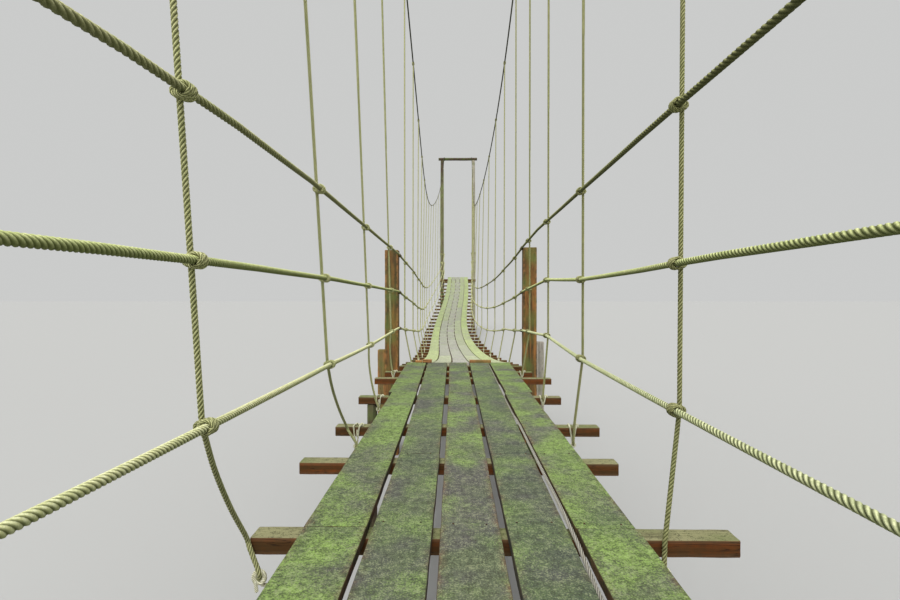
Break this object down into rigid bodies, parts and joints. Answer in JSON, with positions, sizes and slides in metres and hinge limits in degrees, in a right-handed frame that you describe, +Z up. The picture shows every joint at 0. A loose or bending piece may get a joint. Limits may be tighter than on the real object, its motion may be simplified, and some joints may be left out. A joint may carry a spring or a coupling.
{
  "type": "rope suspension footbridge",
  "caption": "Long plank footbridge on cross beams with rope rails and rope hangers from two main cables carried by log masts.",
  "frame": {"origin": "middle of the bridge's length and width, on the level of the lowest ground that the piers stand on", "axes": "+Z up; +Y along the bridge toward the far, higher end; +X across it to the right"},
  "size_m": [2.57, 35.2, 13.4705],
  "materials": {
    "plank": "weathered grey boards with green moss, matt",
    "beam": "dark weathered sawn timber, matt",
    "rail_rope": "laid fibre rope, faded straw with green tint",
    "hanger_rope": "laid fibre rope, faded olive",
    "post": "reddish brown timber, matt",
    "stub": "bare grey timber, matt",
    "pile": "dark round timber, matt",
    "mast": "barked log, greyed, matt"
  },
  "bodies": {
    "root": {"near_planks_1": "plank", "near_planks_2": "plank", "near_planks_3": "plank", "near_planks_4": "plank", "near_planks_5": "plank", "near_beams": "beam", "far_deck_1": "plank", "far_deck_2": "plank", "far_deck_3": "plank", "far_deck_4": "plank", "far_deck_5": "plank", "far_deck_6": "plank", "far_deck_7": "plank", "low_rail_left": "rail_rope", "middle_rail_left": "rail_rope", "top_rail_left": "rail_rope", "cable_and_hangers_left_1": "hanger_rope", "cable_and_hangers_left_2": "hanger_rope", "cable_and_hangers_left_3": "hanger_rope", "cable_and_hangers_left_4": "hanger_rope", "rail_post_left": "post", "stub_pile_left": "stub", "beam_pile_left_1": "pile", "beam_pile_left_2": "pile", "near_mast_left": "mast", "far_mast_left": "mast", "low_rail_right": "rail_rope", "middle_rail_right": "rail_rope", "top_rail_right": "rail_rope", "cable_and_hangers_right_1": "hanger_rope", "cable_and_hangers_right_2": "hanger_rope", "cable_and_hangers_right_3": "hanger_rope", "cable_and_hangers_right_4": "hanger_rope", "rail_post_right": "post", "stub_pile_right": "stub", "beam_pile_right_1": "pile", "beam_pile_right_2": "pile", "near_mast_right": "mast", "far_mast_right": "mast", "near_head_bar": "mast", "far_head_bar": "mast", "near_end_bearer": "beam", "far_end_bearer": "beam"}
  },
  "joints": []
}
